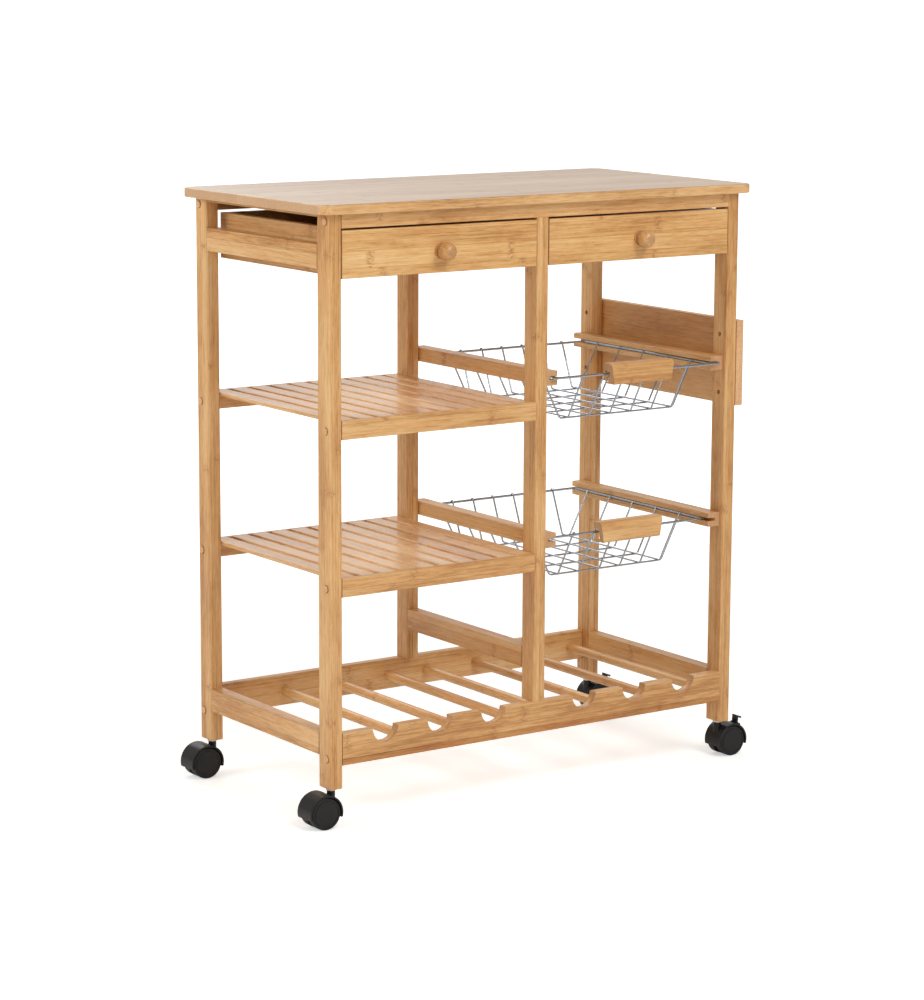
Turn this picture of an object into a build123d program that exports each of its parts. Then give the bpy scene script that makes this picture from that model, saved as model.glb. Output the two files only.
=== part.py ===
from build123d import *
import os

os.makedirs("parts", exist_ok=True)

# Rolling utility cart: a slatted timber trolley on four twin-wheel casters.
# Units are millimetres. +Z is up, the front faces -Y, +X is to the right.
# The origin is on the floor, in the middle of the footprint.

# Overall sizes
cart_height = 776.0
top_width = 670.0
top_depth = 345.0
top_thickness = 12.0
top_corner_radius = 17.0
frame_width = 638.0
frame_depth = 321.0

# Timber sections
leg_width = 18.0
leg_depth = 28.0
leg_ease = 2.5
rail_thickness = 13.0
rail_ease = 1.0
small_ease = 0.5

# Drawer knob
knob_reach = 24.0
knob_ball_radius = 11.5
knob_neck_radius = 6.8
knob_foot_radius = 10.5
knob_foot_length = 3.0
knob_height = 712.0

# Where the timber frame stands. The knobs lengthen the footprint at the front.
frame_mid_y = (knob_reach - (top_depth - frame_depth) / 2) / 2
front_y = frame_mid_y - frame_depth / 2
back_y = frame_mid_y + frame_depth / 2
front_rail_y = front_y + rail_thickness / 2
back_rail_y = back_y - rail_thickness / 2
front_leg_y = front_y + leg_depth / 2
back_leg_y = back_y - leg_depth / 2
between_legs_y = frame_depth - 2 * leg_depth
between_rails_y = frame_depth - 2 * rail_thickness
side_leg_x = (frame_width - leg_width) / 2
inner_face_x = frame_width / 2 - leg_width
bay_width = inner_face_x - leg_width / 2
bay_mid_x = leg_width / 2 + bay_width / 2

# Heights
leg_foot = 50.0
leg_head = cart_height - top_thickness
apron_height = 18.0
apron_foot = leg_head - apron_height
batten_height = 5.0
rack_rail_foot = 79.0
rack_rail_head = 120.0
rack_side_foot = 90.0
stretcher_foot = 162.0
stretcher_height = 28.0
drawer_rail_foot = 696.0
drawer_rail_height = 30.0

# Drawers
drawer_height = 58.5
drawer_foot = 685.0
drawer_gap = 0.8
drawer_front_width = bay_width - 2 * drawer_gap
drawer_side_thickness = 11.0
drawer_side_inset = 10.7
drawer_back_gap = 1.5
drawer_back_y = back_y - rail_thickness - drawer_back_gap
drawer_box_half = bay_width / 2 - drawer_side_inset
drawer_inside_half = drawer_box_half - drawer_side_thickness
drawer_panel_thickness = 4.0
drawer_panel_foot = 688.0
drawer_panel_let_in = 4.0
guide_height = 10.0
guide_mid = 711.0
guide_clearance = 0.4
guide_depth = 5.5
guide_thickness = drawer_side_inset + guide_depth - guide_clearance

# Slatted shelves in the left bay
shelf_heads = {"upper": 512.0, "lower": 316.0}
shelf_rail_height = 24.0
slat_count = 10
slat_width = 22.0
slat_thickness = 5.0
slat_bearing = 7.0
slat_pitch = (bay_width - slat_width) / (slat_count - 1)

# Bottle rack at the bottom
notch_radius = 19.0
notch_pitch = 82.5
notches_per_bay = 3
dowel_radius = 6.25
dowel_height = 98.0
dowel_let_in = 6.0
dowels_per_bay = 4
strip_height = 8.0
strip_groove = 0.6

# Board on the right side
board_thickness = 11.5
board_foot = 481.0
board_head = 595.0
board_screw_heights = (499.0, 576.5)
board_screw_radius = 1.6
board_screw_head_radius = 2.8
board_screw_head_length = 2.0
board_screw_bore = 3.0
board_screw_bore_depth = 6.0
board_screw_bite = 8.0

# Round plugs over the frame screws
plug_radius = 5.2
plug_depth = 5.0
plug_dome = 2.2
plug_inset_y = 9.0
plug_heights_left = (88.0, 303.5, 499.5, 754.5)
plug_heights_right = (88.0, 754.5)

# Grooved runners and wire baskets in the right bay
runner_width = 20.0
runner_height = 19.0
runner_front_inset = 6.5
runner_rear_inset = 12.0
groove_height = 4.6
groove_depth = 12.5
wire_levels = {"upper": 539.5, "lower": 329.0}
basket_back_inset = {"upper": 36.5, "lower": 17.5}
frame_wire_radius = 1.6
side_wire_radius = 1.4
mesh_wire_radius = 1.2
basket_half_width = 126.5
basket_guide_half_width = 136.5
basket_depth = 283.0
basket_drop = 60.0
basket_floor_half_width = 93.0
floor_back_inset = 27.0
floor_front_inset = 36.0
cross_wire_count = 5
cross_wire_inset = 33.0
cross_wire_pitch = 51.5
long_wire_count = 6
long_wire_pitch = 34.0
wire_bend = 6.0
hook_bend = 2.0
wire_weld = 0.3
grip_width = 102.0
grip_taper = 4.5
grip_above = 13.5
grip_below = 13.5
grip_before = 12.0
grip_behind = 5.0
grip_round = 6.0
grip_slot_above = 4.5
grip_slot_below = 11.0
grip_slot_before = 4.0

# Twin-wheel casters
wheel_radius = 20.5
wheel_width = 12.0
wheel_ease = 1.5
wheel_ring_outer = 17.5
wheel_ring_inner = 16.5
wheel_ring_depth = 0.6
wheel_trail = 15.5
hood_radius = 24.0
hood_inner_radius = 21.6
hood_width = 31.0
hood_lip = 6.0
web_thickness = 5.0
web_gap = 0.5
axle_radius = 2.5
axle_clearance = 0.06
axle_half_length = 11.5
axle_bore_depth = 9.5
neck_radius = 5.2
neck_head = 46.2
stem_radius = 4.0
stem_foot = 40.0
stem_head = 76.0
stem_clearance = 0.06
socket_radius = 5.5
socket_head = 78.0
socket_flange_radius = 6.2
socket_flange_foot = 46.8

# Brake levers on the right-hand casters
lever_width = 10.0
lever_side_gap = 0.4
lever_barrel_radius = 2.2
lever_pivot_radius = 1.2
lever_pivot_clearance = 0.05
lever_pivot_length = 2.4
lever_pivot_x = 15.5
lever_pivot_z = 18.6
lever_thickness = 2.6
lever_ear_radius = 3.2
lever_ear_thickness = 2.6
lever_window = 3.0
lever_elbow_reach = 0.8
lever_elbow_rise = 11.5
lever_pad_reach = 7.2
lever_pad_rise = 9.0


def board(size_x, size_y, size_z, centre, ease, along):
    """A straight-grained board whose edges along one axis are eased."""
    with BuildPart() as piece:
        with Locations(centre):
            Box(size_x, size_y, size_z)
        fillet(piece.edges().filter_by(along), ease)
    return piece


def bent_wire(points, bend):
    """A thin round wire bent along a row of points."""
    with BuildPart() as wire:
        with BuildLine() as wire_line:
            FilletPolyline(*points, radius=bend)
        with BuildSketch(Plane(wire_line.line @ 0, z_dir=wire_line.line % 0)):
            Circle(mesh_wire_radius)
        sweep(path=wire_line.line)
    return wire


def corner_leg(x_mid, y_mid, outward, screw_y, plug_heights, board_screws):
    """A corner leg with plug seats, a caster socket bore and, where asked, board screw holes."""
    with BuildPart() as leg:
        with Locations((x_mid, y_mid, (leg_foot + leg_head) / 2)):
            Box(leg_width, leg_depth, leg_head - leg_foot)
        fillet(leg.edges().filter_by(Axis.Z), leg_ease)
        with Locations((x_mid, y_mid, (leg_foot + socket_head) / 2)):
            Cylinder(socket_radius, socket_head - leg_foot, mode=Mode.SUBTRACT)
        seat_x = x_mid + outward * (leg_width - plug_depth) / 2
        with Locations([(seat_x, screw_y, height) for height in plug_heights]):
            Cylinder(plug_radius, plug_depth, rotation=(0, 90, 0), mode=Mode.SUBTRACT)
        if board_screws:
            bore_x = x_mid - outward * (leg_width - board_screw_bore_depth) / 2
            with Locations([(bore_x, y_mid, height) for height in board_screw_heights]):
                Cylinder(
                    board_screw_bore,
                    board_screw_bore_depth,
                    rotation=(0, 90, 0),
                    mode=Mode.SUBTRACT,
                )
            with Locations([(x_mid, y_mid, height) for height in board_screw_heights]):
                Cylinder(board_screw_radius, leg_width, rotation=(0, 90, 0), mode=Mode.SUBTRACT)
    return leg


# Worktop: a laminated board with rounded corners and soft edges
with BuildPart() as tabletop:
    with Locations((0, frame_mid_y, cart_height - top_thickness / 2)):
        Box(top_width, top_depth, top_thickness)
    fillet(tabletop.edges().filter_by(Axis.Z), top_corner_radius)
    fillet(tabletop.faces().sort_by(Axis.Z)[-1].edges(), 2 * rail_ease)
    fillet(tabletop.faces().sort_by(Axis.Z)[0].edges(), rail_ease)
tabletop.part.label = "tabletop"
export_step(tabletop.part, "parts/tabletop.step")

# Corner legs
front_plug_y = front_y + plug_inset_y
back_plug_y = back_y - plug_inset_y

leg_front_left = corner_leg(-side_leg_x, front_leg_y, -1, front_plug_y, plug_heights_left, False)
leg_front_left.part.label = "leg_front_left"
export_step(leg_front_left.part, "parts/leg_front_left.step")

leg_rear_left = corner_leg(-side_leg_x, back_leg_y, -1, back_plug_y, plug_heights_left, False)
leg_rear_left.part.label = "leg_rear_left"
export_step(leg_rear_left.part, "parts/leg_rear_left.step")

leg_front_right = corner_leg(side_leg_x, front_leg_y, 1, front_plug_y, plug_heights_right, True)
leg_front_right.part.label = "leg_front_right"
export_step(leg_front_right.part, "parts/leg_front_right.step")

leg_rear_right = corner_leg(side_leg_x, back_leg_y, 1, back_plug_y, plug_heights_right, True)
leg_rear_right.part.label = "leg_rear_right"
export_step(leg_rear_right.part, "parts/leg_rear_right.step")

# Middle legs stand on the rack rails and stop under the aprons
middle_leg_mid_z = (rack_rail_head + apron_foot) / 2
middle_leg_length = apron_foot - rack_rail_head

leg_front_middle = board(
    leg_width, leg_depth, middle_leg_length, (0, front_leg_y, middle_leg_mid_z), leg_ease, Axis.Z
)
leg_front_middle.part.label = "leg_front_middle"
export_step(leg_front_middle.part, "parts/leg_front_middle.step")

leg_rear_middle = board(
    leg_width, leg_depth, middle_leg_length, (0, back_leg_y, middle_leg_mid_z), leg_ease, Axis.Z
)
leg_rear_middle.part.label = "leg_rear_middle"
export_step(leg_rear_middle.part, "parts/leg_rear_middle.step")

# Aprons under the worktop
apron_mid_z = apron_foot + apron_height / 2

apron_front = board(
    2 * inner_face_x, rail_thickness, apron_height, (0, front_rail_y, apron_mid_z), rail_ease, Axis.X
)
apron_front.part.label = "apron_front"
export_step(apron_front.part, "parts/apron_front.step")

apron_rear = board(
    2 * inner_face_x, rail_thickness, apron_height, (0, back_rail_y, apron_mid_z), rail_ease, Axis.X
)
apron_rear.part.label = "apron_rear"
export_step(apron_rear.part, "parts/apron_rear.step")

# Slim battens close the gap under the worktop at both sides
with BuildPart() as top_battens:
    with Locations([(side * side_leg_x, frame_mid_y, leg_head - batten_height / 2) for side in (-1, 1)]):
        Box(leg_width - 2 * rail_ease, between_legs_y, batten_height)
top_battens.part.label = "top_battens"
export_step(top_battens.part, "parts/top_battens.step")

# Three rails between the front and rear legs carry the drawer guides
drawer_rail_mid_z = drawer_rail_foot + drawer_rail_height / 2

with BuildPart() as drawer_rails:
    with Locations([(x, frame_mid_y, drawer_rail_mid_z) for x in (-side_leg_x, 0, side_leg_x)]):
        Box(leg_width, between_legs_y, drawer_rail_height)
    fillet(drawer_rails.edges().filter_by(Axis.Y), rail_ease)
drawer_rails.part.label = "drawer_rails"
export_step(drawer_rails.part, "parts/drawer_rails.step")

# Guide strips on the rails run in the grooves of the drawer sides
guide_offset = bay_width / 2 - guide_thickness / 2

with BuildPart() as drawer_guides:
    with Locations([
        (bay * bay_mid_x + side * guide_offset, frame_mid_y, guide_mid)
        for bay in (-1, 1)
        for side in (-1, 1)
    ]):
        Box(guide_thickness, between_legs_y, guide_height)
    fillet(drawer_guides.edges().filter_by(Axis.Y), small_ease)
drawer_guides.part.label = "drawer_guides"
export_step(drawer_guides.part, "parts/drawer_guides.step")

# Slatted shelves: a front and a rear rail with a bearing ledge for the slat ends
slat_length = between_rails_y + 2 * slat_bearing

for level, head in shelf_heads.items():
    for face, rail_y, inward in (("front", front_rail_y, 1), ("rear", back_rail_y, -1)):
        ledge_y = rail_y + inward * (rail_thickness - slat_bearing) / 2
        with BuildPart() as shelf_rail:
            with Locations((-bay_mid_x, rail_y, head - shelf_rail_height / 2)):
                Box(bay_width, rail_thickness, shelf_rail_height)
            fillet(shelf_rail.edges().filter_by(Axis.X), rail_ease)
            with Locations((-bay_mid_x, ledge_y, head - slat_thickness / 2)):
                Box(bay_width, slat_bearing, slat_thickness, mode=Mode.SUBTRACT)
        shelf_rail.part.label = f"shelf_{level}_{face}_rail"
        export_step(shelf_rail.part, f"parts/shelf_{level}_{face}_rail.step")

    with BuildPart() as shelf_slats:
        with Locations((-bay_mid_x, frame_mid_y, head - slat_thickness / 2)):
            with GridLocations(slat_pitch, 1, slat_count, 1):
                Box(slat_width, slat_length, slat_thickness)
        fillet(shelf_slats.edges().filter_by(Axis.Y).group_by(Axis.Z)[-1], rail_ease)
    shelf_slats.part.label = f"shelf_{level}_slats"
    export_step(shelf_slats.part, f"parts/shelf_{level}_slats.step")

# Rack rails at the bottom. The front one has half-round notches for bottle necks.
rack_rail_height = rack_rail_head - rack_rail_foot
rack_rail_mid_z = (rack_rail_head + rack_rail_foot) / 2
notch_x = [
    bay * bay_mid_x + (step - (notches_per_bay - 1) / 2) * notch_pitch
    for bay in (-1, 1)
    for step in range(notches_per_bay)
]
dowel_x = [
    bay * bay_mid_x + (step - (dowels_per_bay - 1) / 2) * notch_pitch
    for bay in (-1, 1)
    for step in range(dowels_per_bay)
]

with BuildPart() as rack_front_rail:
    with Locations((0, front_rail_y, rack_rail_mid_z)):
        Box(2 * inner_face_x, rail_thickness, rack_rail_height)
    fillet(rack_front_rail.edges().filter_by(Axis.X), rail_ease)
    with Locations((0, front_y, rack_rail_foot + strip_height)):
        Box(2 * inner_face_x, 2 * strip_groove, strip_groove, mode=Mode.SUBTRACT)
    with Locations([(x, front_rail_y, rack_rail_head) for x in notch_x]):
        Cylinder(notch_radius, rail_thickness, rotation=(90, 0, 0), mode=Mode.SUBTRACT)
    with Locations([(x, front_y + rail_thickness - dowel_let_in / 2, dowel_height) for x in dowel_x]):
        Cylinder(dowel_radius, dowel_let_in, rotation=(90, 0, 0), mode=Mode.SUBTRACT)
rack_front_rail.part.label = "rack_front_rail"
export_step(rack_front_rail.part, "parts/rack_front_rail.step")

with BuildPart() as rack_rear_rail:
    with Locations((0, back_rail_y, rack_rail_mid_z)):
        Box(2 * inner_face_x, rail_thickness, rack_rail_height)
    fillet(rack_rear_rail.edges().filter_by(Axis.X), rail_ease)
    with Locations([(x, back_y - rail_thickness + dowel_let_in / 2, dowel_height) for x in dowel_x]):
        Cylinder(dowel_radius, dowel_let_in, rotation=(90, 0, 0), mode=Mode.SUBTRACT)
rack_rear_rail.part.label = "rack_rear_rail"
export_step(rack_rear_rail.part, "parts/rack_rear_rail.step")

rack_side_height = rack_rail_head - rack_side_foot
rack_side_mid_z = rack_side_foot + rack_side_height / 2

with BuildPart() as rack_side_rails:
    with Locations([(side * side_leg_x, frame_mid_y, rack_side_mid_z) for side in (-1, 1)]):
        Box(leg_width, between_legs_y, rack_side_height)
    fillet(rack_side_rails.edges().filter_by(Axis.Y), rail_ease)
rack_side_rails.part.label = "rack_side_rails"
export_step(rack_side_rails.part, "parts/rack_side_rails.step")

rack_middle_stretcher = board(
    leg_width,
    between_legs_y,
    stretcher_height,
    (0, frame_mid_y, stretcher_foot + stretcher_height / 2),
    rail_ease,
    Axis.Y,
)
rack_middle_stretcher.part.label = "rack_middle_stretcher"
export_step(rack_middle_stretcher.part, "parts/rack_middle_stretcher.step")

# Dowels between the notches, let into blind holes in both rack rails
with BuildPart() as rack_dowels:
    with Locations([(x, frame_mid_y, dowel_height) for x in dowel_x]):
        Cylinder(dowel_radius, between_rails_y + 2 * dowel_let_in, rotation=(90, 0, 0))
rack_dowels.part.label = "rack_dowels"
export_step(rack_dowels.part, "parts/rack_dowels.step")

# Plain board screwed to the outside of the right-hand legs
board_mid_x = frame_width / 2 + board_thickness / 2
board_screw_places = [(y, height) for y in (front_leg_y, back_leg_y) for height in board_screw_heights]

with BuildPart() as side_board:
    with Locations((board_mid_x, frame_mid_y, (board_foot + board_head) / 2)):
        Box(board_thickness, frame_depth, board_head - board_foot)
    fillet(side_board.edges().filter_by(Axis.Y), rail_ease)
    with Locations([(frame_width / 2 + board_screw_bite / 2, y, z) for y, z in board_screw_places]):
        Cylinder(board_screw_radius, board_screw_bite, rotation=(0, 90, 0), mode=Mode.SUBTRACT)
side_board.part.label = "side_board"
export_step(side_board.part, "parts/side_board.step")

board_screw_seat_x = inner_face_x + board_screw_bore_depth
board_screw_tip_x = frame_width / 2 + board_screw_bite
screw_head_x = board_screw_seat_x - board_screw_head_length / 2
screw_shank_x = (board_screw_seat_x + board_screw_tip_x) / 2

with BuildPart() as board_screws:
    with Locations([(screw_head_x, y, height) for y, height in board_screw_places]):
        Cylinder(board_screw_head_radius, board_screw_head_length, rotation=(0, 90, 0))
    with Locations([(screw_shank_x, y, height) for y, height in board_screw_places]):
        Cylinder(board_screw_radius, board_screw_tip_x - board_screw_seat_x, rotation=(0, 90, 0))
board_screws.part.label = "board_screws"
export_step(board_screws.part, "parts/board_screws.step")

# Domed plugs cover the frame screws on the outer faces of the corner legs
plug_places = [
    (side, y, height)
    for side, heights in ((-1, plug_heights_left), (1, plug_heights_right))
    for y in (front_plug_y, back_plug_y)
    for height in heights
]

with BuildPart() as leg_plugs:
    for side, y, height in plug_places:
        with Locations((side * (frame_width - plug_depth + plug_dome) / 2, y, height)):
            Cylinder(plug_radius, plug_depth + plug_dome, rotation=(0, 90, 0))
    fillet(leg_plugs.faces().filter_by(Axis.X).group_by(Axis.X)[0].edges(), plug_dome)
    fillet(leg_plugs.faces().filter_by(Axis.X).group_by(Axis.X)[-1].edges(), plug_dome)
leg_plugs.part.label = "leg_plugs"
export_step(leg_plugs.part, "parts/leg_plugs.step")

# Grooved runners on both sides of the right bay, one pair for each basket
runner_length = frame_depth - runner_front_inset - runner_rear_inset
runner_mid_y = frame_mid_y + (runner_front_inset - runner_rear_inset) / 2

with BuildPart() as basket_runners:
    for level, height in wire_levels.items():
        for side in (-1, 1):
            with Locations((bay_mid_x + side * (bay_width - runner_width) / 2, runner_mid_y, height)):
                Box(runner_width, runner_length, runner_height)
    fillet(basket_runners.edges().filter_by(Axis.Y), rail_ease)
    for level, height in wire_levels.items():
        for side in (-1, 1):
            groove_x = bay_mid_x + side * (bay_width / 2 - runner_width + groove_depth / 2)
            with Locations((groove_x, runner_mid_y, height)):
                Box(groove_depth, runner_length, groove_height, mode=Mode.SUBTRACT)
basket_runners.part.label = "basket_runners"
export_step(basket_runners.part, "parts/basket_runners.step")

# Wire baskets: a heavier top frame, cross wires and long wires welded into a tray
for level, frame_z in wire_levels.items():
    back_wire_y = back_y - basket_back_inset[level]
    front_wire_y = back_wire_y - basket_depth
    floor_z = frame_z - basket_drop
    long_floor_z = floor_z + 2 * mesh_wire_radius - wire_weld
    hang_z = frame_z + mesh_wire_radius
    hang_x = basket_half_width - side_wire_radius - mesh_wire_radius + wire_weld
    hook_z = frame_z + frame_wire_radius + mesh_wire_radius - wire_weld
    hook_y = frame_wire_radius + mesh_wire_radius

    # Cross wires hang from the side wires and pass under the floor
    cross_wires = []
    for step in range(cross_wire_count):
        wire_y = back_wire_y - cross_wire_inset - step * cross_wire_pitch
        cross_wires.append(bent_wire([
            (bay_mid_x - hang_x, wire_y, hang_z),
            (bay_mid_x - basket_floor_half_width, wire_y, floor_z),
            (bay_mid_x + basket_floor_half_width, wire_y, floor_z),
            (bay_mid_x + hang_x, wire_y, hang_z),
        ], wire_bend))

    # Long wires hook over the front and back wires and lie on the cross wires
    long_wires = []
    for step in range(long_wire_count):
        wire_x = bay_mid_x + (step - (long_wire_count - 1) / 2) * long_wire_pitch
        long_wires.append(bent_wire([
            (wire_x, back_wire_y, hook_z),
            (wire_x, back_wire_y - hook_y, hook_z),
            (wire_x, back_wire_y - floor_back_inset, long_floor_z),
            (wire_x, front_wire_y + floor_front_inset, long_floor_z),
            (wire_x, front_wire_y + hook_y, hook_z),
            (wire_x, front_wire_y, hook_z),
        ], hook_bend))

    # The heavy front and back wires run on past the side wires into the grooves
    with BuildPart() as basket_wires:
        with Locations((bay_mid_x, back_wire_y, frame_z), (bay_mid_x, front_wire_y, frame_z)):
            Cylinder(frame_wire_radius, 2 * basket_guide_half_width, rotation=(0, 90, 0))
        side_wire_y = (back_wire_y + front_wire_y) / 2
        side_wire_x = [bay_mid_x - basket_half_width, bay_mid_x + basket_half_width]
        with Locations([(x, side_wire_y, frame_z) for x in side_wire_x]):
            Cylinder(side_wire_radius, basket_depth, rotation=(90, 0, 0))
        for wire in cross_wires + long_wires:
            add(wire.part)
    basket_wires.part.label = f"basket_{level}_wires"
    export_step(basket_wires.part, f"parts/basket_{level}_wires.step")

    # Wooden grip, slotted at the back to clip over the front wire
    with BuildPart() as basket_grip:
        with BuildSketch(Plane.XZ.offset(grip_before - front_wire_y)):
            with BuildLine():
                Polyline(
                    (bay_mid_x - grip_width / 2, frame_z + grip_above),
                    (bay_mid_x + grip_width / 2, frame_z + grip_above),
                    (bay_mid_x + grip_width / 2 - grip_taper, frame_z - grip_below),
                    (bay_mid_x - grip_width / 2 + grip_taper, frame_z - grip_below),
                    close=True,
                )
            make_face()
        extrude(amount=-(grip_before + grip_behind))
        grip_front_edges = basket_grip.faces().sort_by(Axis.Y)[0].edges().filter_by(Axis.X)
        fillet(grip_front_edges.sort_by(Axis.Z)[-1], grip_round)
        grip_front_edges = basket_grip.faces().sort_by(Axis.Y)[0].edges().filter_by(Axis.X)
        fillet(grip_front_edges.sort_by(Axis.Z)[0], 2 * rail_ease)
        slot_depth = grip_behind + grip_slot_before
        slot_y = front_wire_y + grip_behind - slot_depth / 2
        slot_z = frame_z + (grip_slot_above - grip_slot_below) / 2
        with Locations((bay_mid_x, slot_y, slot_z)):
            Box(grip_width, slot_depth, grip_slot_above + grip_slot_below, mode=Mode.SUBTRACT)
    basket_grip.part.label = f"basket_{level}_grip"
    export_step(basket_grip.part, f"parts/basket_{level}_grip.step")

# Drawers: a thick front, grooved sides, a back and a thin bottom panel let into grooves
drawer_mid_z = drawer_foot + drawer_height / 2
panel_mid_z = drawer_panel_foot + drawer_panel_thickness / 2
side_front_y = front_y + rail_thickness
side_length = drawer_back_y - side_front_y
side_mid_y = (drawer_back_y + side_front_y) / 2
panel_front_y = side_front_y - drawer_panel_let_in

for bay_name, bay in (("left", -1), ("right", 1)):
    mid_x = bay * bay_mid_x

    with BuildPart() as drawer_front:
        with Locations((mid_x, front_rail_y, drawer_mid_z)):
            Box(drawer_front_width, rail_thickness, drawer_height)
        fillet(drawer_front.faces().sort_by(Axis.Y)[0].edges(), rail_ease)
        with Locations((mid_x, side_front_y - drawer_panel_let_in / 2, panel_mid_z)):
            Box(2 * drawer_inside_half, drawer_panel_let_in, drawer_panel_thickness, mode=Mode.SUBTRACT)
    drawer_front.part.label = f"drawer_{bay_name}_front"
    export_step(drawer_front.part, f"parts/drawer_{bay_name}_front.step")

    with BuildPart() as drawer_sides:
        for side in (-1, 1):
            side_x = mid_x + side * (drawer_box_half - drawer_side_thickness / 2)
            with Locations((side_x, side_mid_y, drawer_mid_z)):
                Box(drawer_side_thickness, side_length, drawer_height)
        fillet(drawer_sides.edges().filter_by(Axis.Y).group_by(Axis.Z)[-1], rail_ease)
        for side in (-1, 1):
            groove_x = mid_x + side * (drawer_box_half - guide_depth / 2)
            with Locations((groove_x, side_mid_y, guide_mid)):
                Box(guide_depth, side_length, guide_height + 2 * guide_clearance, mode=Mode.SUBTRACT)
            let_in_x = mid_x + side * (drawer_inside_half + drawer_panel_let_in / 2)
            with Locations((let_in_x, side_mid_y, panel_mid_z)):
                Box(drawer_panel_let_in, side_length, drawer_panel_thickness, mode=Mode.SUBTRACT)
    drawer_sides.part.label = f"drawer_{bay_name}_sides"
    export_step(drawer_sides.part, f"parts/drawer_{bay_name}_sides.step")

    back_foot = drawer_panel_foot + drawer_panel_thickness
    back_height = drawer_foot + drawer_height - back_foot
    with BuildPart() as drawer_back:
        with Locations((mid_x, drawer_back_y - drawer_side_thickness / 2, back_foot + back_height / 2)):
            Box(2 * drawer_inside_half, drawer_side_thickness, back_height)
        fillet(drawer_back.edges().filter_by(Axis.X).group_by(Axis.Z)[-1], rail_ease)
    drawer_back.part.label = f"drawer_{bay_name}_back"
    export_step(drawer_back.part, f"parts/drawer_{bay_name}_back.step")

    with BuildPart() as drawer_bottom:
        with Locations((mid_x, (panel_front_y + side_front_y) / 2, panel_mid_z)):
            Box(2 * drawer_inside_half, drawer_panel_let_in, drawer_panel_thickness)
        with Locations((mid_x, side_mid_y, panel_mid_z)):
            Box(2 * (drawer_inside_half + drawer_panel_let_in), side_length, drawer_panel_thickness)
    drawer_bottom.part.label = f"drawer_{bay_name}_bottom"
    export_step(drawer_bottom.part, f"parts/drawer_{bay_name}_bottom.step")

    # Turned ball knob on a short neck
    knob_tip_y = front_y - knob_reach
    ball_y = knob_tip_y + knob_ball_radius
    with BuildPart() as drawer_knob:
        with Locations((mid_x, ball_y, knob_height)):
            Sphere(knob_ball_radius)
        with Locations((mid_x, (ball_y + front_y) / 2, knob_height)):
            Cylinder(knob_neck_radius, front_y - ball_y, rotation=(90, 0, 0))
        with Locations((mid_x, front_y - knob_foot_length / 2, knob_height)):
            Cylinder(knob_foot_radius, knob_foot_length, rotation=(90, 0, 0))
    drawer_knob.part.label = f"drawer_{bay_name}_knob"
    export_step(drawer_knob.part, f"parts/drawer_{bay_name}_knob.step")

# Casters. The left pair trails to the left and the right pair to the right.
corners = {
    "front_left": (-side_leg_x, front_leg_y, -1),
    "rear_left": (-side_leg_x, back_leg_y, -1),
    "front_right": (side_leg_x, front_leg_y, 1),
    "rear_right": (side_leg_x, back_leg_y, 1),
}

# Steel sleeves pressed into the leg ends take the caster stems
with BuildPart() as caster_sockets:
    for x, y, trail in corners.values():
        with Locations((x, y, (leg_foot + socket_head) / 2)):
            Cylinder(socket_radius, socket_head - leg_foot)
        with Locations((x, y, (leg_foot + socket_flange_foot) / 2)):
            Cylinder(socket_flange_radius, leg_foot - socket_flange_foot)
        with Locations((x, y, (socket_flange_foot + stem_head + stem_clearance) / 2)):
            Cylinder(
                stem_radius + stem_clearance,
                stem_head + stem_clearance - socket_flange_foot,
                mode=Mode.SUBTRACT,
            )
caster_sockets.part.label = "caster_sockets"
export_step(caster_sockets.part, "parts/caster_sockets.step")

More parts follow.
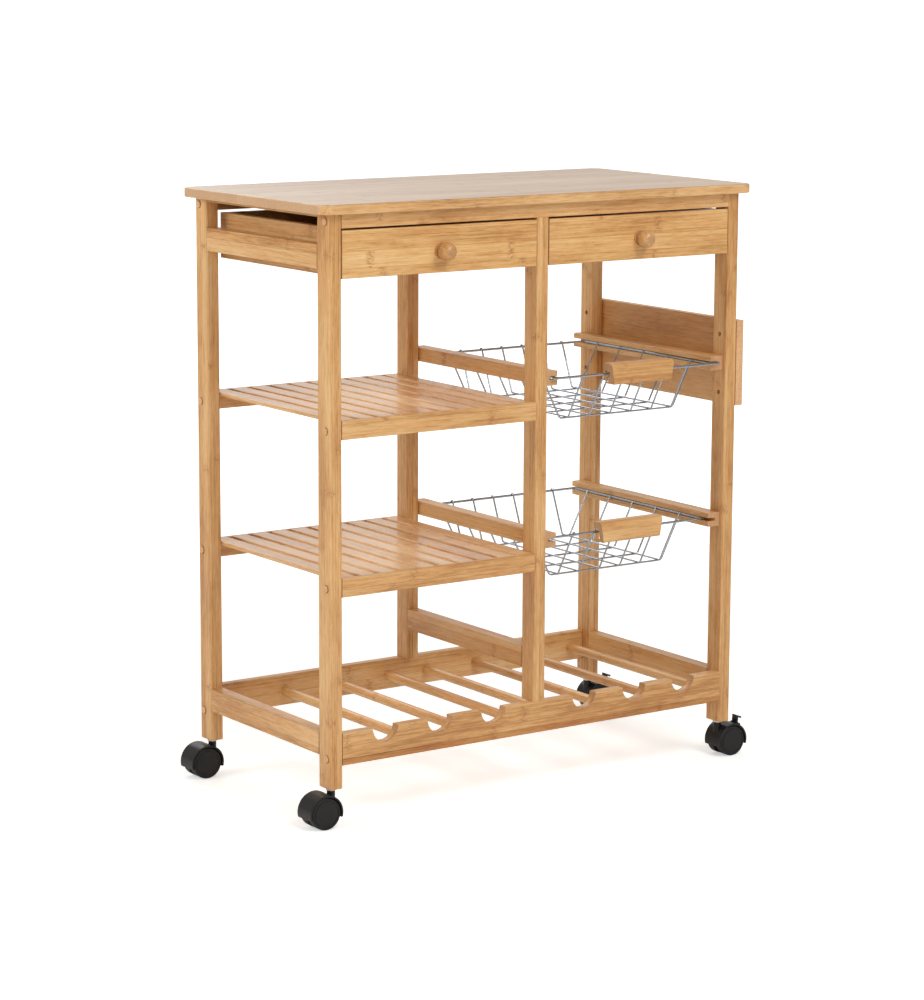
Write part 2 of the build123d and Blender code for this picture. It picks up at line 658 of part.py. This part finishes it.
for corner, (x, y, trail) in corners.items():
    wheel_x = x + trail * wheel_trail
    wheel_z = wheel_radius
    braked = trail > 0
    pivot_x = wheel_x + trail * lever_pivot_x
    pivot_z = wheel_z + lever_pivot_z

    # Hood: a moulded shell over both wheels with a thin web between them and a neck
    with BuildPart() as caster_hood:
        with Locations((x, y, (wheel_z + neck_head) / 2)):
            Cylinder(neck_radius, neck_head - wheel_z)
        with BuildSketch(Plane.XZ.offset(-y)):
            with Locations((wheel_x, wheel_z)):
                Circle(hood_radius)
        extrude(amount=hood_width / 2, both=True)
        if braked:
            ear_y = lever_width / 2 + lever_side_gap + lever_ear_thickness / 2
            with Locations((pivot_x, y - ear_y, pivot_z), (pivot_x, y + ear_y, pivot_z)):
                Cylinder(lever_ear_radius, lever_ear_thickness, rotation=(90, 0, 0))
        with BuildSketch(Plane.XZ.offset(-y)):
            with Locations((wheel_x, wheel_z)):
                Circle(hood_inner_radius)
        extrude(amount=hood_width / 2, both=True, mode=Mode.SUBTRACT)
        with Locations((wheel_x, y, wheel_z - hood_lip - hood_radius / 2)):
            Box(2 * hood_radius, hood_width, hood_radius, mode=Mode.SUBTRACT)
        with BuildSketch(Plane.XZ.offset(-y)):
            with Locations((wheel_x, wheel_z)):
                Circle(hood_inner_radius)
            with Locations((wheel_x, wheel_z - hood_lip - hood_radius / 2)):
                Rectangle(2 * hood_radius, hood_radius, mode=Mode.SUBTRACT)
            with Locations((wheel_x, wheel_z)):
                Circle(2 * hood_lip)
        extrude(amount=web_thickness / 2, both=True)
        with Locations((wheel_x, y, wheel_z)):
            Cylinder(axle_radius, web_thickness, rotation=(90, 0, 0), mode=Mode.SUBTRACT)
        with Locations((x, y, (stem_foot + neck_head) / 2)):
            Cylinder(stem_radius, neck_head - stem_foot, mode=Mode.SUBTRACT)
        if braked:
            window_width = lever_width + 2 * lever_side_gap
            with Locations((pivot_x, y, pivot_z)):
                Cylinder(lever_window, window_width, rotation=(90, 0, 0), mode=Mode.SUBTRACT)
                Cylinder(
                    lever_pivot_radius + lever_pivot_clearance,
                    window_width + 2 * lever_ear_thickness,
                    rotation=(90, 0, 0),
                    mode=Mode.SUBTRACT,
                )
    caster_hood.part.label = f"caster_{corner}_hood"
    export_step(caster_hood.part, f"parts/caster_{corner}_hood.step")

    # Steel stem and axle, both fixed in the hood
    with BuildPart() as caster_pins:
        with Locations((x, y, (stem_foot + stem_head) / 2)):
            Cylinder(stem_radius, stem_head - stem_foot)
        with Locations((wheel_x, y, wheel_z)):
            Cylinder(axle_radius, 2 * axle_half_length, rotation=(90, 0, 0))
    caster_pins.part.label = f"caster_{corner}_pins"
    export_step(caster_pins.part, f"parts/caster_{corner}_pins.step")

    # Two wheels that turn freely on the axle, plain faced on the outside
    for side_name, side in (("front", -1), ("rear", 1)):
        inner_y = y + side * (web_thickness / 2 + web_gap)
        outer_y = inner_y + side * wheel_width
        with BuildPart() as caster_wheel:
            with Locations((wheel_x, (inner_y + outer_y) / 2, wheel_z)):
                Cylinder(wheel_radius, wheel_width, rotation=(90, 0, 0))
            fillet(caster_wheel.edges().filter_by(GeomType.CIRCLE), wheel_ease)
            with Locations((wheel_x, inner_y + side * axle_bore_depth / 2, wheel_z)):
                Cylinder(
                    axle_radius + axle_clearance,
                    axle_bore_depth,
                    rotation=(90, 0, 0),
                    mode=Mode.SUBTRACT,
                )
            with BuildSketch(Plane.XZ.offset(-outer_y)):
                with Locations((wheel_x, wheel_z)):
                    Circle(wheel_ring_outer)
                    Circle(wheel_ring_inner, mode=Mode.SUBTRACT)
            extrude(amount=side * wheel_ring_depth, mode=Mode.SUBTRACT)
        caster_wheel.part.label = f"caster_{corner}_wheel_{side_name}"
        export_step(caster_wheel.part, f"parts/caster_{corner}_wheel_{side_name}.step")

    # Brake lever: a barrel between two ears with a bent foot pad
    if braked:
        elbow_x = pivot_x + trail * lever_elbow_reach
        elbow_z = pivot_z + lever_elbow_rise
        pad_x = pivot_x + trail * lever_pad_reach
        pad_z = pivot_z + lever_pad_rise
        with BuildPart() as brake_lever:
            with Locations((pivot_x, y, pivot_z)):
                Cylinder(lever_barrel_radius, lever_width, rotation=(90, 0, 0))
                Cylinder(
                    lever_pivot_radius,
                    lever_width + 2 * (lever_side_gap + lever_pivot_length),
                    rotation=(90, 0, 0),
                )
            with BuildSketch(Plane.XZ.offset(-y)):
                with BuildLine():
                    Polyline((pivot_x, pivot_z), (elbow_x, elbow_z), (pad_x, pad_z))
                trace(line_width=lever_thickness)
            extrude(amount=lever_width / 2, both=True)
        brake_lever.part.label = f"caster_{corner}_lever"
        export_step(brake_lever.part, f"parts/caster_{corner}_lever.step")
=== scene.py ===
import math

import bpy
from mathutils import Matrix, Vector

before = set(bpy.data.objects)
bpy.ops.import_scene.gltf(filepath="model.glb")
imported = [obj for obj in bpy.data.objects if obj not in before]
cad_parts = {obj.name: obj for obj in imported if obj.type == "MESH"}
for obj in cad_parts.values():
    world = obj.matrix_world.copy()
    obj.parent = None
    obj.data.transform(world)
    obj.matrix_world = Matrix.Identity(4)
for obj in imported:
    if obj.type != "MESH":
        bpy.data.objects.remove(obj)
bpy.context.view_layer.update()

AXES = {"X": 0, "Y": 1, "Z": 2}
ALONG = {"X": Vector((1, 0, 0)), "Y": Vector((0, 1, 0)), "Z": Vector((0, 0, 1))}

# Where the camera stands, in metres, and how it looks at the cart
STAND = (-2.3014, -3.2950, 1.0812)
YAW, PITCH, ROLL = math.radians(34.748), math.radians(10.152), math.radians(0.25)
SENSOR = 36.0
LENS = 3.0922 * SENSOR


class Shader:
    """The node tree of a material or a world, built up a node at a time."""

    def __init__(self, owner):
        self.owner = owner
        owner.use_nodes = True
        self.tree = owner.node_tree
        self.tree.nodes.clear()

    def node(self, kind, sockets=None, **settings):
        made = self.tree.nodes.new(kind)
        for key, value in settings.items():
            setattr(made, key, value)
        for key, value in (sockets or {}).items():
            self.feed(made.inputs[key], value)
        return made

    def feed(self, socket, value):
        if isinstance(value, bpy.types.NodeSocket):
            self.tree.links.new(value, socket)
        elif value is not None:
            socket.default_value = value

    def math(self, operation, *values, clamp=False):
        made = self.tree.nodes.new("ShaderNodeMath")
        made.operation = operation
        made.use_clamp = clamp
        for socket, value in zip(made.inputs, values):
            self.feed(socket, value)
        return made.outputs[0]

    def add(self, *values):
        total = values[0]
        for value in values[1:]:
            total = self.math("ADD", total, value)
        return total

    def times(self, a, b):
        return self.math("MULTIPLY", a, b)

    def swing(self, value, amount):
        """How far a value from 0 to 1 lies from its middle, times an amount."""
        return self.times(self.math("SUBTRACT", value, 0.5), amount)

    def spread(self, value, low, high, to_low=0.0, to_high=1.0, smooth=False):
        made = self.node("ShaderNodeMapRange", {0: value, 1: low, 2: high, 3: to_low, 4: to_high})
        made.interpolation_type = "SMOOTHSTEP" if smooth else "LINEAR"
        return made.outputs[0]

    def mix(self, factor, a, b, blend="MIX"):
        made = self.tree.nodes.new("ShaderNodeMix")
        made.data_type = "RGBA"
        made.blend_type = blend
        self.feed(made.inputs[0], factor)
        self.feed(made.inputs[6], a)
        self.feed(made.inputs[7], b)
        return made.outputs[2]

    def vector(self, x, y, z):
        return self.node("ShaderNodeCombineXYZ", {0: x, 1: y, 2: z}).outputs[0]

    def noise(self, vector, scale=1.0, detail=2.0, roughness=0.5, distortion=0.0):
        made = self.node(
            "ShaderNodeTexNoise",
            {
                "Vector": vector,
                "Scale": scale,
                "Detail": detail,
                "Roughness": roughness,
                "Distortion": distortion,
            },
        )
        return made.outputs[0]

    def random(self, value):
        return self.node("ShaderNodeTexWhiteNoise", {"W": value}, noise_dimensions="1D").outputs[0]

    def ramp(self, value, stops):
        made = self.node("ShaderNodeValToRGB", {0: value})
        elements = made.color_ramp.elements
        elements[0].position, elements[0].color = stops[0]
        elements[1].position, elements[1].color = stops[-1]
        for place, colour in stops[1:-1]:
            elements.new(place).color = colour
        return made.outputs[0]

    def place(self):
        parts = self.node("ShaderNodeSeparateXYZ", {0: self.node("ShaderNodeTexCoord").outputs["Object"]})
        return [parts.outputs[i] for i in range(3)]

    def bump(self, height, strength, distance):
        made = self.node("ShaderNodeBump", {"Height": height, "Strength": strength, "Distance": distance})
        return made.outputs[0]

    def surface(self, **sockets):
        """The principled shader and the output. Constant values go straight on its sockets."""
        principled = self.tree.nodes.new("ShaderNodeBsdfPrincipled")
        for key, value in sockets.items():
            self.feed(principled.inputs[key.replace("_", " ")], value)
        output = self.tree.nodes.new("ShaderNodeOutputMaterial")
        self.tree.links.new(principled.outputs[0], output.inputs[0])
        return self.owner


def bamboo(name, along, strips, tone=(1.0, 1.0, 1.0), knot_gap=0.27, knot=1.0, contrast=1.0, seed=0.0,
           rough=0.40, streak=1.0, sheen=0.22, up_face_painted_shade=None, painted_rim_shade=False, painted_shade_below=None):
    """Lacquered laminated bamboo whose fibres run along one axis.

    strips lists (axis, width, offset) for the laminations. Each strip has its own tone and its own knots.
    Of the last three arguments, the first multiplies the colour of faces that look up, as painted shade
    against the extra light they get from overhead; the second paints shade on the rim of a round plug, for
    the shadowed groove around it; and the third is the height in metres below which a rail is painted darker,
    as painted shade on its lower strip.
    """
    s = Shader(bpy.data.materials.new(name))
    place = s.place()
    across = [axis for axis in "XYZ" if axis != along]
    run = place[AXES[along]]
    sides = [place[AXES[axis]] for axis in across]

    def toned(red, green, blue):
        return [red * tone[0], green * tone[1], blue * tone[2], 1.0]

    def fibres(lengthwise, fineness, **settings):
        crosswise = [s.times(side, fineness) for side in sides]
        return s.noise(s.vector(lengthwise, *crosswise), **settings)

    # Which strip a point is in, and how near it is to the strip's glued edge
    index = s.math("ADD", seed, 0.0)
    glue = 0.0
    for step, (axis, width, offset) in enumerate(strips):
        scaled = s.times(s.math("ADD", place[AXES[axis]], offset), 1 / width)
        index = s.add(index, s.times(s.math("FLOOR", scaled), 7.31 + 12.7 * step))
        nearest = s.math("PINGPONG", scaled, 0.5)
        line = s.spread(nearest, 0.0, 0.0007 / width, 1.0, 0.0, smooth=True)
        glue = s.math("MAXIMUM", glue, line)
    tint = s.random(index)
    shift = s.random(s.add(index, 31.7))

    # Fibres: broad clouds, long streaks and fine flecks
    slide = s.times(shift, 9.0)
    clouds = fibres(s.times(run, 5.0), 26.0, detail=2.0)
    streaks = fibres(s.add(s.times(run, 7.0), slide), 420.0, detail=3.0, roughness=0.6, distortion=0.15)
    flecks = fibres(s.add(s.times(run, 38.0), slide), 1500.0, detail=2.0, roughness=0.65)
    grain = fibres(s.add(s.times(run, 48.0), slide), 560.0, detail=3.0, roughness=0.7)
    dashes = s.spread(flecks, 0.60, 0.72, smooth=True)
    hairs = s.spread(streaks, 0.56, 0.74, smooth=True)

    # Knots: the culm's nodes cross each strip as a thin wavy line in a wider speckled patch
    wobble = fibres(s.times(run, 3.0), 170.0, detail=1.0)
    turned = s.add(s.times(run, 1 / knot_gap), shift, s.swing(wobble, 0.0030 / knot_gap), 40.0)
    near = s.times(s.math("ABSOLUTE", s.math("SUBTRACT", s.math("FRACT", turned), 0.5)), knot_gap)
    present = s.math("GREATER_THAN", s.random(s.add(index, s.math("FLOOR", turned), 3.3)), 0.34)
    patchy = fibres(s.times(run, 210.0), 520.0, detail=2.0)
    specks = s.spread(patchy, 0.38, 0.62, smooth=True)
    line = s.times(
        s.spread(near, 0.0, 0.0016, 1.0, 0.0, smooth=True),
        s.spread(patchy, 0.35, 0.6, 0.2, 1.0),
    )
    band = s.times(s.spread(near, 0.0010, 0.0095, 1.0, 0.0, smooth=True), specks)
    knots = s.times(s.times(present, knot), s.add(s.times(line, 0.30), s.times(band, 0.80)))

    # Colour
    level = s.add(
        0.5,
        s.swing(clouds, 1.50 * contrast),
        s.swing(streaks, 1.25 * contrast * streak),
        s.swing(grain, 1.45 * contrast * streak),
        s.swing(tint, 0.36 * contrast),
    )
    shades = [(0.0, (0.455, 0.215, 0.066)), (0.38, (0.635, 0.352, 0.132)), (0.62, (0.725, 0.440, 0.186)),
              (1.0, (0.815, 0.560, 0.280))]
    colour = s.ramp(level, [(at, toned(*rgb)) for at, rgb in shades])
    blush = fibres(s.add(s.times(run, 9.0), slide), 150.0, detail=2.0)
    rosy = s.times(s.spread(blush, 0.42, 0.66, smooth=True), 0.55)
    colour = s.mix(rosy, colour, [1.0, 0.86, 0.78, 1.0], "MULTIPLY")
    colour = s.mix(s.times(hairs, 0.34 * streak), colour, toned(0.47, 0.23, 0.085))
    rusty = s.spread(grain, 0.60, 0.74, smooth=True)
    colour = s.mix(s.times(rusty, 0.30), colour, toned(0.55, 0.25, 0.085))
    colour = s.mix(s.times(dashes, 0.22), colour, toned(0.42, 0.20, 0.075))
    colour = s.mix(s.times(knots, 0.68), colour, toned(0.41, 0.165, 0.050))
    colour = s.mix(s.times(glue, 0.42), colour, toned(0.33, 0.16, 0.06))

    # Cut ends show the fibre bundles as dots in slightly darker wood
    facing = s.node(
        "ShaderNodeVectorMath",
        {0: s.node("ShaderNodeTexCoord").outputs["Normal"], 1: ALONG[along]},
        operation="DOT_PRODUCT",
    ).outputs["Value"]
    end = s.spread(s.math("ABSOLUTE", facing), 0.80, 0.95, smooth=True)
    dots = fibres(s.times(run, 60.0), 1150.0, detail=1.0)
    end_wood = s.ramp(dots, [(0.34, toned(0.42, 0.215, 0.105)),
                             (0.62, toned(0.68, 0.43, 0.235))])
    colour = s.mix(s.times(end, 0.8), colour, end_wood)

    normal = s.node("ShaderNodeSeparateXYZ", {0: s.node("ShaderNodeTexCoord").outputs["Normal"]})
    # Painted shade: faces that look up are multiplied by a darker colour, to take back the extra light they
    # get from overhead
    if up_face_painted_shade:
        up_face_shade_mask = s.spread(normal.outputs[2], 0.5, 0.9, smooth=True)
        colour = s.mix(up_face_shade_mask, colour, [*up_face_painted_shade, 1.0], "MULTIPLY")
    # Painted shade: below the given height the rail is painted darker, on the lower strip of its front
    if painted_shade_below:
        lower_shade_mask = s.spread(place[2], painted_shade_below - 0.0006, painted_shade_below + 0.0002, 1.0, 0.0, smooth=True)
        colour = s.mix(lower_shade_mask, colour, [0.80, 0.66, 0.50, 1.0], "MULTIPLY")
    # Painted shade: a dark rim on a round plug's edge, standing in for the shadowed groove around its seat
    if painted_rim_shade:
        edge = s.spread(s.math("ABSOLUTE", normal.outputs[0]), 0.35, 0.85, 1.0, 0.0, smooth=True)
        colour = s.mix(s.times(edge, 0.8), colour, [0.16, 0.065, 0.022, 1.0])

    # A worn satin lacquer over fibres that stand a little proud
    height = s.add(s.times(streaks, 0.6), s.times(flecks, 0.25), s.times(knots, -0.5), s.times(glue, -0.8))
    roughness = s.add(rough, s.swing(streaks, 0.18), s.times(knots, 0.10),
                      s.times(end, 0.18), s.swing(clouds, 0.10))
    return s.surface(Base_Color=colour, Roughness=roughness, Normal=s.bump(height, 0.35, 0.00022),
                     Coat_Weight=sheen, Coat_Roughness=0.20, IOR=1.5)


def chrome(name, base, rough):
    """Bright plated wire with faint clouding."""
    s = Shader(bpy.data.materials.new(name))
    x, y, z = s.place()
    cloud = s.noise(s.vector(x, y, z), scale=55.0, detail=2.0)
    fine = s.noise(s.vector(x, y, z), scale=900.0, detail=2.0)
    colour = s.mix(s.spread(cloud, 0.3, 0.75), [c * 0.88 for c in base] + [1.0], [*base, 1.0])
    roughness = s.add(rough, s.swing(cloud, 0.10), s.swing(fine, 0.06))
    return s.surface(Base_Color=colour, Metallic=1.0, Roughness=roughness,
                     Normal=s.bump(fine, 0.08, 0.0001))


def steel(name, base, rough):
    """Turned or drawn steel with fine rings across its length."""
    s = Shader(bpy.data.materials.new(name))
    x, y, z = s.place()
    rings = s.noise(s.vector(s.times(x, 60.0), s.times(y, 60.0), s.times(z, 2600.0)), detail=2.0)
    colour = s.mix(rings, [c * 0.8 for c in base] + [1.0], [*base, 1.0])
    roughness = s.add(rough, s.swing(rings, 0.2))
    return s.surface(Base_Color=colour, Metallic=1.0, Roughness=roughness,
                     Normal=s.bump(rings, 0.15, 0.0001))


def plastic(name, shade, rough, grain):
    """Moulded black plastic with a fine spark-eroded texture, scuffs and dust."""
    s = Shader(bpy.data.materials.new(name))
    x, y, z = s.place()
    place = s.vector(x, y, z)
    texture = s.noise(place, scale=2600.0, detail=2.0, roughness=0.6)
    cloud = s.noise(place, scale=70.0, detail=3.0)
    scuff = s.spread(s.noise(s.vector(s.times(x, 900.0), s.times(y, 300.0), s.times(z, 120.0)), detail=2.0),
                     0.66, 0.80, smooth=True)
    dark = [shade * 0.7, shade * 0.75, shade * 0.9, 1.0]
    pale = [shade * 1.1, shade * 1.2, shade * 1.5, 1.0]
    colour = s.mix(s.spread(cloud, 0.25, 0.8), dark, pale)
    colour = s.mix(s.times(scuff, 0.25), colour, [shade * 3.0] * 3 + [1.0])
    roughness = s.add(rough, s.swing(cloud, 0.16), s.times(scuff, 0.12))
    relief = s.bump(s.add(texture, s.times(scuff, 0.5)), grain, 0.00012)
    return s.surface(Base_Color=colour, Roughness=roughness, Normal=relief, Specular_IOR_Level=0.38)


# Which material each CAD node takes
LEG_STRIPS = [("X", 0.0097, 0.0005), ("Y", 0.0141, 0.0016)]
SHADES = {
    # The top's tone is paled and cooled as painted sheen, a painted highlight on its edges; its faces that
    # look up take painted shade
    "top": bamboo("bamboo_top", "X", [("Y", 0.0185, 0.002)], tone=(1.05, 1.12, 1.24), knot_gap=0.31, knot=0.8,
                  contrast=1.0, seed=2.0, rough=0.34, sheen=0.5, up_face_painted_shade=(0.67, 0.66, 0.72)),
    "leg": bamboo("bamboo_leg", "Z", LEG_STRIPS, knot_gap=0.29, seed=11.0),
    "rail_x": bamboo("bamboo_rail_x", "X", [("Z", 0.0205, 0.006), ("Y", 0.0068, 0.0)], knot_gap=0.27,
                     seed=23.0),
    "rail_y": bamboo("bamboo_rail_y", "Y", [("Z", 0.0205, 0.004), ("X", 0.0095, 0.0)], knot_gap=0.25,
                     seed=37.0),
    # The slats' pale, cool tone is partly painted sheen
    "slat": bamboo("bamboo_slat", "Y", [("X", 0.03, 0.0)], tone=(1.05, 1.1, 1.25), knot_gap=0.24, seed=41.0,
                   sheen=0.7),
    "dowel": bamboo("bamboo_dowel", "Y", [("X", 0.0825, 0.0)], tone=(1.03, 1.05, 1.08), knot_gap=0.22,
                    seed=53.0, rough=0.34, contrast=0.8),
    "board": bamboo("bamboo_board", "Y", [("Z", 0.0285, 0.009), ("X", 0.0058, 0.0)], tone=(1.24, 1.27, 1.3),
                    knot_gap=0.28, seed=67.0),
    "front": bamboo("bamboo_front", "X", [("Z", 0.0209, 0.0138), ("Y", 0.0066, 0.0)], tone=(1.02, 1.03, 1.0),
                    knot_gap=0.21, knot=1.2, seed=71.0),
    "box": bamboo("bamboo_box", "Y", [("Z", 0.0205, 0.010), ("X", 0.0056, 0.0)], tone=(1.0, 1.0, 0.98),
                  knot_gap=0.25, seed=83.0),
    "back": bamboo("bamboo_back", "X", [("Z", 0.0205, 0.010)], knot_gap=0.25, seed=97.0),
    "grip": bamboo("bamboo_grip", "X", [("Z", 0.0145, 0.002)], tone=(1.0, 0.99, 0.97), knot_gap=0.13,
                   seed=101.0, contrast=0.9),
    "knob": bamboo("bamboo_knob", "Y", [("X", 0.05, 0.0)], tone=(0.84, 0.76, 0.66), knot_gap=0.08, seed=113.0,
                   rough=0.30, contrast=1.1),
    # The plug's rim is painted dark as painted shade
    "plug": bamboo("bamboo_plug", "X", [("Z", 0.05, 0.0)], tone=(1.12, 1.14, 1.2), knot_gap=0.5, knot=0.0,
                   seed=127.0, contrast=0.7, painted_rim_shade=True),
    # The rack rail is painted darker below 87 mm, as painted shade on its lower strip
    "rack": bamboo("bamboo_rack", "X", [("Z", 0.0205, 0.006), ("Y", 0.0068, 0.0)], knot_gap=0.27, seed=23.0,
                   painted_shade_below=0.0872),
    "wire": chrome("chrome_wire", (0.50, 0.56, 0.64), 0.08),
    "steel": steel("zinc_steel", (0.55, 0.55, 0.56), 0.34),
    "sleeve": steel("bright_sleeve", (0.86, 0.86, 0.87), 0.48),
    # The screws are painted near black, as painted shade in the screw holes
    "screw": steel("screw_painted_shade", (0.012, 0.010, 0.009), 0.60),
    "hood": plastic("moulded_hood", 0.009, 0.33, 0.12),
    "wheel": plastic("moulded_wheel", 0.010, 0.42, 0.20),
}
BY_NODE = {
    "tabletop": "top", "apron_front": "rail_x", "apron_rear": "rail_x", "top_battens": "rail_y",
    "drawer_rails": "rail_y", "drawer_guides": "rail_y",
    "rack_front_rail": "rack", "rack_rear_rail": "rail_x",
    "rack_side_rails": "rail_y", "rack_middle_stretcher": "rail_y",
    "rack_dowels": "dowel", "side_board": "board",
    "board_screws": "screw", "leg_plugs": "plug", "basket_runners": "rail_y", "caster_sockets": "sleeve",
}
BY_ENDING = [
    ("_rail", "rail_x"), ("_slats", "slat"), ("_wires", "wire"), ("_grip", "grip"), ("_front", "front"),
    ("_sides", "box"), ("_back", "back"), ("_bottom", "back"), ("_knob", "knob"), ("_hood", "hood"),
    ("_pins", "steel"), ("_lever", "hood"),
]
for name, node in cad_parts.items():
    if name in BY_NODE:
        shade = BY_NODE[name]
    elif name.startswith("leg_"):
        shade = "leg"
    elif "_wheel_" in name:
        shade = "wheel"
    else:
        shade = next(found for ending, found in BY_ENDING if name.endswith(ending))
    node.data.materials.clear()
    node.data.materials.append(SHADES[shade])


# Studio: a wide pale floor, a soft sky and four soft lamps
def floor():
    s = Shader(bpy.data.materials.new("studio_floor"))
    x, y, z = s.place()
    mottle = s.noise(s.vector(x, y, z), scale=3.0, detail=3.0)
    colour = s.mix(mottle, [0.88, 0.88, 0.88, 1.0], [0.92, 0.92, 0.92, 1.0])
    away = s.math("SQRT", s.add(s.times(x, x), s.times(y, y)))
    seen = s.node("ShaderNodeLightPath").outputs["Is Camera Ray"]
    glow = s.times(seen, s.spread(away, 0.6, 4.0, 0.46, 1.0, smooth=True))
    material = s.surface(Base_Color=colour, Roughness=0.85, Emission_Color=[0.94, 0.98, 1.0, 1.0],
                         Emission_Strength=glow)
    radius, count = 90.0, 96
    points = [(radius * math.cos(2 * math.pi * i / count), radius * math.sin(2 * math.pi * i / count), 0.0)
              for i in range(count)]
    mesh = bpy.data.meshes.new("studio_floor")
    mesh.from_pydata(points, [], [list(range(count))])
    mesh.materials.append(material)
    made = bpy.data.objects.new("studio_floor", mesh)
    bpy.context.scene.collection.objects.link(made)


def lamp(name, place, target, size, power, colour=(1.0, 1.0, 1.0)):
    light = bpy.data.lights.new(name, "AREA")
    light.shape = "DISK"
    light.size = size
    light.energy = power
    light.color = colour
    made = bpy.data.objects.new(name, light)
    made.location = place
    made.rotation_mode = "QUATERNION"
    made.rotation_quaternion = (Vector(target) - Vector(place)).to_track_quat("-Z", "Y")
    bpy.context.scene.collection.objects.link(made)


def sky(overhead, level, below, backdrop, tint):
    """Plain white to the camera. It lights the object from overhead and from a paler wall behind it."""
    s = Shader(bpy.data.worlds.new("studio"))
    bpy.context.scene.world = s.owner
    parts = s.node("ShaderNodeSeparateXYZ", {0: s.node("ShaderNodeTexCoord").outputs["Generated"]})
    x, y, z = [parts.outputs[i] for i in range(3)]
    dome = s.add(s.spread(z, 0.0, 0.9, level, overhead), s.spread(z, -0.4, 0.0, below - level, 0.0))
    ahead = s.add(s.times(x, math.sin(YAW)), s.times(y, math.cos(YAW)))
    behind = s.spread(ahead, 0.3, 0.85, 0.0, backdrop, smooth=True)
    wall = s.times(behind, s.spread(z, 0.6, 0.15, smooth=True))
    glow = s.node("ShaderNodeBackground", {"Strength": dome})
    glow.inputs["Color"].default_value = [*tint, 1.0]
    pale = s.node("ShaderNodeBackground", {"Strength": wall})
    shown = s.node("ShaderNodeBackground", {"Color": [1.0, 1.0, 1.0, 1.0]})
    pale.inputs["Color"].default_value = [1.0, 1.0, 1.0, 1.0]
    light = s.node("ShaderNodeAddShader", {0: glow.outputs[0], 1: pale.outputs[0]})
    seen = s.node("ShaderNodeLightPath").outputs["Is Camera Ray"]
    both = s.node("ShaderNodeMixShader", {0: seen, 1: light.outputs[0], 2: shown.outputs[0]})
    s.node("ShaderNodeOutputWorld", {0: both.outputs[0]})


floor()
sky(overhead=0.36, level=0.40, below=0.30, backdrop=0.50, tint=(1.0, 0.90, 0.78))
lamp("front", (0.1, -2.9, 3.2), (0.0, 0.0, 0.45), 2.0, 70.0)
lamp("left", (-3.4, 0.5, 2.1), (0.0, 0.0, 0.45), 2.0, 50.0)
lamp("near", (-1.9, -3.3, 1.5), (0.0, 0.0, 0.4), 1.4, 15.0, (1.0, 0.93, 0.84))
lamp("back", (0.6, 2.6, 2.4), (0.0, 0.0, 0.5), 2.0, 20.0)

# The camera. It has no lens shift, so upright lines converge a little.
forward = Vector((math.sin(YAW) * math.cos(PITCH), math.cos(YAW) * math.cos(PITCH), -math.sin(PITCH)))
level_right = Vector((math.cos(YAW), -math.sin(YAW), 0.0))
level_up = level_right.cross(forward)
right = level_right * math.cos(ROLL) + level_up * math.sin(ROLL)
up = level_up * math.cos(ROLL) - level_right * math.sin(ROLL)
camera_data = bpy.data.cameras.new("camera")
camera_data.sensor_width = SENSOR
camera_data.lens = LENS
camera_data.clip_start, camera_data.clip_end = 0.05, 300.0
camera = bpy.data.objects.new("camera", camera_data)
turn = Matrix((right, up, -forward)).transposed().to_4x4()
camera.matrix_world = Matrix.Translation(STAND) @ turn
bpy.context.scene.collection.objects.link(camera)
bpy.context.scene.camera = camera
bpy.context.scene.view_settings.view_transform = "Standard"
